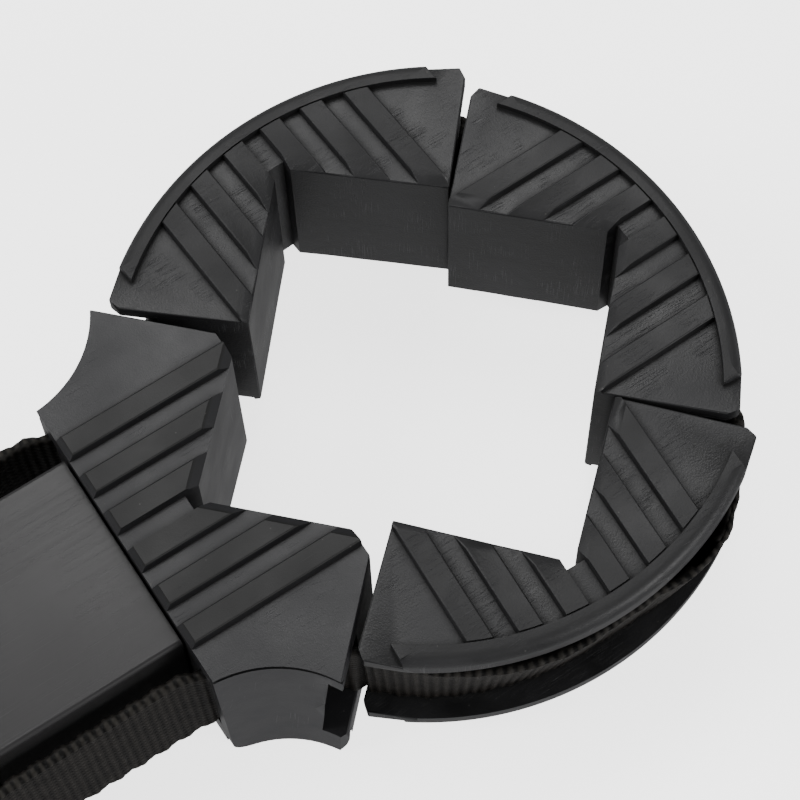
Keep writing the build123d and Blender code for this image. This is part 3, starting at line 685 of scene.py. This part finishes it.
def make_ring_strap():
    """The strap round the ring: one piece over each gap, meeting in the middles of the jaws."""
    wing_left = wing_arc(1, WING_SPLIT, -45.0)
    wing_right = wing_arc(-1, WING_SPLIT, -45.0)
    half = {name: (jaw_arc(name, -45, 0), jaw_arc(name, 0, 45)) for name in jaw_rest}

    # From the left wing to the left jaw's middle, clockwise seen from above.
    left_in = half["left"][1][::-1]
    points = wing_left + bridge(wing_left, left_in) + left_in
    piece_left = upright("strap_wing_to_left_jaw", points, out_of_ring)
    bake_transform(piece_left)
    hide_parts("strap_jaw_left")

    left_out, far_in = half["left"][0][::-1], half["far"][1][::-1]
    points = left_out + bridge(left_out, far_in) + far_in
    piece_far = upright("strap_left_to_far_jaw", points, out_of_ring)
    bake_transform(piece_far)
    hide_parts("strap_jaw_far")

    right_in = half["right"][0]
    points = wing_right + bridge(wing_right, right_in) + jaw_arc("right")
    far_end = Vector(jaw_arc("right")[-1])

    def upper_layer(x, y):
        """Near the far jaw the right jaw's strap keeps only its outer half, over the far jaw's strap."""
        reach = (Vector((x, y)) - far_end).length
        return (LAYER if reach < jaw_travel + 9 * MM else 1.0, 1.0)

    piece_right = upright("strap_wing_to_right_jaw", points, out_of_ring, slack_at, upper_layer)
    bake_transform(piece_right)
    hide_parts("strap_jaw_right")

    far_out, right_end = half["far"][0][::-1], jaw_arc("right", 45 - OVERLAP, 45)[::-1]
    points = far_out + bridge(far_out, right_end) + right_end
    entry = Vector(right_end[0])

    def lower_layer(x, y):
        """In the right jaw's channel the far jaw's strap keeps only its inner half."""
        inside = (Vector((x, y)) - Vector(far_out[-1])).length > (entry - Vector(far_out[-1])).length
        return (1.0, LAYER if inside else 1.0)

    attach(upright("strap_far_to_right_jaw", points, out_of_ring, slack_at, lower_layer), "jaw_far")


def side_run(side):
    """The strap from the wing's channel along the housing to the carriage."""
    front = wing_arc(side, WING_SPLIT, -90.0)
    end = lock_high.x
    mouth = notch_x - head_depth
    low, high = (0.5 * MM, 2.4 * MM) if side > 0 else (-0.5 * MM, -2.1 * MM)

    def from_axis(line):
        normal = sideways(line)
        return normal * np.sign(normal[-1, 1]) * side

    def twist(x, y):
        """Between the fixed jaw and the carriage the strap is free to lean."""
        free = smooth_step((mouth + 3 * MM - x) / (9 * MM)) * smooth_step((x - end) / (30 * MM))
        return low * free, high * free

    name = "left" if side > 0 else "right"
    strap = upright(f"strap_side_{name}", front + [(end, axis_y + side * strap_run)], from_axis, twist)
    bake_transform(strap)
    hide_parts(f"strap_wing_{name}")


def make_anchor_loop():
    """The strap's fixed end, sewn round the anchor pin: along the inside, round the back and over itself."""
    x, y, inner = anchor.x, axis_y + strap_run, 3.9 * MM
    front = lock_high.x
    over = axis_y + strap_run + strap_thickness + 0.1 * MM
    back = arc((x, y + inner), inner, -90.0, -270.0)
    closing = [(x + 5 * MM, y + 2 * inner - 1.2 * MM), (x + 10 * MM, over + 0.8 * MM), (x + 13 * MM, over)]
    points = [(front, y)] + back + closing + [(front - 0.6 * MM, over)]
    strap = upright("strap_anchor_loop_sewn", points, sideways)
    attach(strap, "carriage")
    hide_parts("strap_anchor_loop")


def make_lock_strap():
    """The strap that the cam grips."""
    y = (lock_low.y + lock_high.y) / 2

    def from_axis(line):
        return np.tile([0.0, -1.0], (len(line), 1))

    strap = upright("strap_in_lock_woven", [(lock_high.x, y), (lock_low.x, y)], from_axis)
    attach(strap, "carriage")
    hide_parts("strap_in_lock")


# ---- the strap's free end ----
tail_start = Vector((lock_low.x, axis_y - strap_run, strap_middle))
coil_low, coil_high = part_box("strap_coil")
coil_centre = (coil_low + coil_high) / 2
coil_outer = (coil_high.x - coil_low.x) / 2
coil_inner = 20.0 * MM
coil_pitch = 9.2 * MM
turn_points = 16         # to each turn of the coil
tie_reach = 13 * MM      # the turns are lifted this far to each side of the tie that runs under them


def tail_route():
    """The free stretch's points, given one by one as in the part, and then the coil's turns by a loop."""
    x, y, z = tail_start
    lying = strap_width / 2 + 0.6 * MM
    top = coil_high.y + strap_thickness / 2
    points = [
        (x, y, z),
        (x - 16 * MM, y, z),
        (x - 42 * MM, y - 1.6 * MM, z - 2.5 * MM),
        (x - 72 * MM, y + 0.2 * MM, lying + 3.0 * MM),
        (x - 104 * MM, top + 0.05 * MM, lying),
    ]
    swell = 2 / (1 + cos(pi / turn_points))
    first = coil_outer - strap_thickness / 2 - 0.6 * MM
    turns = (first - coil_inner - strap_thickness / 2 - 0.8 * MM) / coil_pitch
    steps = int(turns * turn_points)
    for k in range(steps + 1):
        turn = pi / 2 + 2 * pi * k / turn_points
        radius = (first - coil_pitch * k / turn_points) * swell
        lap = k % turn_points
        px, py = coil_centre.x + radius * cos(turn), coil_centre.y + radius * sin(turn)
        under = py < coil_centre.y and abs(px - coil_centre.x) < tie_reach
        points.append((px, py, lying + (1.3 * MM if under or lap == turn_points // 2 else 0.1 * MM)))
    return points


def smooth_route(points):
    """Points along the NURBS spline on those control points."""
    curve = bpy.data.curves.new("route", "CURVE")
    curve.dimensions = "3D"
    curve.resolution_u = 14
    spline = curve.splines.new("NURBS")
    spline.points.add(len(points) - 1)
    for point, place in zip(spline.points, points):
        point.co = (*place, 1.0)
    spline.order_u = 3
    spline.use_endpoint_u = True
    holder = bpy.data.objects.new("route", curve)
    bpy.context.scene.collection.objects.link(holder)
    bpy.context.view_layer.update()
    mesh = bpy.data.meshes.new_from_object(holder)
    line = np.array([v.co for v in mesh.vertices], float)
    bpy.data.objects.remove(holder)
    bpy.data.meshes.remove(mesh)
    return line


def make_tail():
    """The 25 mm strap from the lock to its put-away coil, standing on edge, as one length."""
    route = smooth_route(tail_route())
    line, along = even(route, pick / 2)
    strap = webbing("strap_tail_woven", line, along, -sideways(line), line[:, 2], columns=8, rim=4)
    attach(strap, "carriage")
    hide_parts("strap_tail", "strap_coil")
    tie = edged("coil_tie_tape", "coil_tie", felt, 0.4 * MM)


make_tail()
make_ring_strap()
side_run(1)
side_run(-1)
make_anchor_loop()
make_lock_strap()

# ---- moulded, pressed and turned parts ----
for place in jaw_rest:
    name, node, corner = f"jaw_{place}_moulded", f"corner_jaw_{place}", Vector(notch_corner(place))
    edged(name, node, jaw_plastic, 0.28 * MM, shortest=3 * MM, keep_clear=corner)
edged(
    "head_jaw_moulded",
    "head_jaw",
    head_plastic,
    0.35 * MM,
    shortest=8 * MM,
    keep_clear=Vector((notch_x, axis_y)),
)
for name, node, material, width, slot in (
    ("housing_top_shell", "housing_top", shell_metal, 0.5, "housing_paint"),
    ("housing_bottom_shell", "housing_bottom", shell_metal, 0.3, "housing_paint"),
    ("end_block_moulded", "end_block", head_plastic, 0.5, "head_plastic"),
    ("carriage_moulded", "carriage", head_plastic, 0.3, "head_plastic"),
    ("cam_lever_moulded", "cam_lever", head_plastic, 0.25, "head_plastic"),
    ("handle_hub_moulded", "handle_core", head_plastic, 0.3, "head_plastic"),
    ("handle_cap_moulded", "handle_cap", head_plastic, 0.3, "head_plastic"),
    ("handle_grip_rubber", "handle_grip", rubber, 0.3, "grip_rubber"),
    ("housing_screws_socket", "housing_screws", black_steel, 0.12, "black_steel"),
    ("retaining_ring_spring", "front_retaining_ring", black_steel, 0.12, "black_steel"),
    ("handle_cross_pin_plated", "handle_cross_pin", steel, 0.2, "steel"),
    ("inner_thrust_washer_plated", "inner_thrust_washer", steel, 0.2, "steel"),
    ("outer_thrust_washer_plated", "outer_thrust_washer", steel, 0.2, "steel"),
    ("anchor_pin_plated", "anchor_pin", steel, 0.2, "steel"),
    ("cam_pin_plated", "cam_pin", steel, 0.2, "steel"),
    ("front_bush_bronze", "front_bush", bronze, 0.2, "brass"),
    ("rear_bush_bronze", "rear_bush", bronze, 0.2, "brass"),
    ("travelling_nut_bronze", "travelling_nut", bronze, 0.2, "brass"),
):
    edged(name, node, material, width * MM)


def make_lead_screw():
    """The lead screw with its real thread: a trapezoidal ridge wound on the shank between two journals."""
    low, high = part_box("lead_screw")
    rear_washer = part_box("inner_thrust_washer")[1].x
    ring_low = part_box("front_retaining_ring")[0].x
    crest, root, journal, chamfer = 6.0 * MM, 4.9 * MM, 4.0 * MM, 0.5 * MM
    thread_rear, thread_front = rear_washer + 0.1 * MM, ring_low - 0.05 * MM
    sides, step = 40, 0.3 * MM
    half_crest, flank = 0.14, 0.22      # shares of the pitch
    stations = [(low.x, journal - chamfer), (low.x + chamfer, journal), (thread_rear, journal)]
    count = round((thread_front - thread_rear) / step)
    stations += [(thread_rear + (thread_front - thread_rear) * k / count, None) for k in range(count + 1)]
    stations += [(thread_front, journal), (high.x - chamfer, journal), (high.x, journal - chamfer)]
    points = []
    for x, radius in stations:
        for k in range(sides):
            turn = 2 * pi * k / sides
            r = radius
            if r is None:
                phase = ((x - thread_rear) / thread_pitch + k / sides) % 1.0
                fall = min(max((abs(phase - 0.5) - half_crest) / flank, 0.0), 1.0)
                run_out = min((x - thread_rear) / thread_pitch, (thread_front - x) / thread_pitch, 1.0)
                r = crest - (crest - root) * fall - (1 - run_out) * 0.4 * MM
            points.append((x, axis_y + r * cos(turn), screw_z + r * sin(turn)))
    rows = len(stations)
    faces = []
    for k in range(rows - 1):
        for c in range(sides):
            d = (c + 1) % sides
            faces.append((k * sides + c, (k + 1) * sides + c, (k + 1) * sides + d, k * sides + d))
    faces.append(tuple(range(sides)))
    faces.append(tuple((rows - 1) * sides + c for c in range(sides))[::-1])
    screw = piece("lead_screw_threaded", points, faces, steel)
    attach(screw, "spindle")
    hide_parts("lead_screw")


make_lead_screw()


# ---- what repeats, made with Geometry Nodes ----
def grown(name, tree, values, body, replaced=()):
    """A plain mesh from a Geometry Nodes tree with its named inputs set to values."""
    carrier = bpy.data.objects.new(name, bpy.data.meshes.new(name))
    bpy.context.scene.collection.objects.link(carrier)
    modifier = carrier.modifiers.new("growth", "NODES")
    modifier.node_group = tree
    for item in tree.interface.items_tree:
        if item.item_type == "SOCKET" and item.in_out == "INPUT" and item.name in values:
            modifier[item.identifier] = values[item.name]
    bpy.context.view_layer.update()
    mesh = bpy.data.meshes.new_from_object(carrier.evaluated_get(bpy.context.evaluated_depsgraph_get()))
    bpy.data.objects.remove(carrier)
    mesh.name = name
    mesh.polygons.foreach_set("use_smooth", [True] * len(mesh.polygons))
    thing = bpy.data.objects.new(name, mesh)
    bpy.context.scene.collection.objects.link(thing)
    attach(thing, body)
    if replaced:
        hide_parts(*replaced)


def new_tree(name, inputs):
    """A Geometry Nodes tree with one geometry output and the named inputs."""
    tree = bpy.data.node_groups.new(name, "GeometryNodeTree")
    for label, kind in inputs:
        tree.interface.new_socket(label, in_out="INPUT", socket_type=kind)
    tree.interface.new_socket("Geometry", in_out="OUTPUT", socket_type="NodeSocketGeometry")
    given = tree.nodes.new("NodeGroupInput")
    return tree, given.outputs


def finish_tree(tree, geometry, material):
    real = add(tree, "GeometryNodeRealizeInstances", {0: geometry})
    painted = add(tree, "GeometryNodeSetMaterial", {"Geometry": real.outputs[0], "Material": material})
    out = tree.nodes.new("NodeGroupOutput")
    tree.links.new(painted.outputs[0], out.inputs[0])


def make_cam_spring():
    """The torsion spring over the cam: close turns of round wire."""
    low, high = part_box("cam_spring")
    tree, given = new_tree(
        "spring_turns",
        [
            ("Turns", "NodeSocketFloat"),
            ("Radius", "NodeSocketFloat"),
            ("Height", "NodeSocketFloat"),
            ("Wire", "NodeSocketFloat"),
            ("Place", "NodeSocketVector"),
        ],
    )
    winding = {
        "Resolution": 32,
        "Rotations": given["Turns"],
        "Start Radius": given["Radius"],
        "End Radius": given["Radius"],
        "Height": given["Height"],
    }
    coil = add(tree, "GeometryNodeCurveSpiral", winding)
    wire = add(tree, "GeometryNodeCurvePrimitiveCircle", {"Resolution": 10, "Radius": given["Wire"]})
    swept = {"Curve": coil.outputs[0], "Profile Curve": wire.outputs[0], "Fill Caps": True}
    body = add(tree, "GeometryNodeCurveToMesh", swept)
    moved = add(tree, "GeometryNodeTransform", {"Geometry": body.outputs[0], "Translation": given["Place"]})
    finish_tree(tree, moved.outputs[0], black_steel)
    wire_radius = 0.55 * MM
    values = {
        "Turns": 3.6,
        "Radius": (high.x - low.x) / 2 - wire_radius,
        "Height": high.z - low.z - 2 * wire_radius,
        "Wire": wire_radius,
        "Place": ((low.x + high.x) / 2, (low.y + high.y) / 2, low.z + wire_radius),
    }
    grown("cam_spring_wound", tree, values, "lever", ["cam_spring"])


def make_stitches():
    """Rows of stitches that close the strap's loop round the anchor pin."""
    tree, given = new_tree(
        "stitch_rows",
        [
            ("Start", "NodeSocketVector"),
            ("End", "NodeSocketVector"),
            ("Rows", "NodeSocketInt"),
            ("Row step", "NodeSocketVector"),
            ("Pitch", "NodeSocketFloat"),
            ("Thread", "NodeSocketFloat"),
        ],
    )
    line = add(tree, "GeometryNodeCurvePrimitiveLine", {"Start": given["Start"], "End": given["End"]})
    spacing = {"Curve": line.outputs[0], "Length": given["Pitch"]}
    places = add(tree, "GeometryNodeCurveToPoints", spacing, mode="LENGTH")
    ball = add(tree, "GeometryNodeMeshUVSphere", {"Segments": 8, "Rings": 6, "Radius": given["Thread"]})
    long = add(tree, "GeometryNodeTransform", {"Geometry": ball.outputs[0], "Scale": (2.6, 0.8, 1.0)})
    threaded = {"Points": places.outputs[0], "Instance": long.outputs[0]}
    row = add(tree, "GeometryNodeInstanceOnPoints", threaded)
    solid = add(tree, "GeometryNodeRealizeInstances", {0: row.outputs[0]})
    rows = add(tree, "GeometryNodeMeshLine", {"Count": given["Rows"], "Offset": given["Row step"]})
    repeated = {"Points": rows.outputs[0], "Instance": solid.outputs[0]}
    every = add(tree, "GeometryNodeInstanceOnPoints", repeated)
    finish_tree(tree, every.outputs[0], thread)
    y = axis_y + strap_run + 1.5 * strap_thickness + 0.14 * MM
    values = {
        "Start": (anchor.x + 13 * MM, y, strap_low + 4 * MM),
        "End": (lock_high.x - 1.5 * MM, y, strap_low + 4 * MM),
        "Rows": 7,
        "Row step": (0, 0, (strap_width - 8 * MM) / 6),
        "Pitch": 2.2 * MM,
        "Thread": 0.3 * MM,
    }
    grown("anchor_stitches", tree, values, "carriage")


make_cam_spring()
make_stitches()


# ---- floor and light ----
def make_stage():
    floor_material, tree, shader = new_material("pale_paper_floor", 0.9)
    shade = noise(tree, object_coords(tree), 0.4, 2.0)
    colour = mixed(tree, shade, tint("#f4f4f4"), tint("#f8f8f8"))
    tree.links.new(colour, shader.inputs["Base Color"])
    shader.inputs["Emission Color"].default_value = (1, 1, 1, 1)
    shader.inputs["Emission Strength"].default_value = 2.5
    half = 4.0
    corners = [(-half, -half, 0), (half, -half, 0), (half, half, 0), (-half, half, 0)]
    floor = piece("floor", corners, [(0, 1, 2, 3)], floor_material, smooth=False)
    floor.visible_glossy = False

    world = bpy.data.worlds.new("studio")
    bpy.context.scene.world = world
    world.use_nodes = True
    world.node_tree.nodes["Background"].inputs["Color"].default_value = (1, 1, 1, 1)
    world.node_tree.nodes["Background"].inputs["Strength"].default_value = 0.45

    target = Vector((ring_x, axis_y, 20 * MM))
    for name, place, size, power in (
        ("overhead_softbox", (0.45, 0.75, 1.5), 0.8, 13.0),
        ("key_softbox", (-0.9, 0.5, 0.9), 0.7, 12.0),
        ("front_softbox", (0.6, -1.2, 0.6), 0.7, 10.0),
    ):
        light = bpy.data.lights.new(name, "AREA")
        light.shape = "DISK"
        light.size = size
        light.energy = power
        lamp = bpy.data.objects.new(name, light)
        bpy.context.scene.collection.objects.link(lamp)
        lamp.location = target + Vector(place)
        lamp.rotation_euler = (target - lamp.location).to_track_quat("-Z", "Y").to_euler()


make_stage()
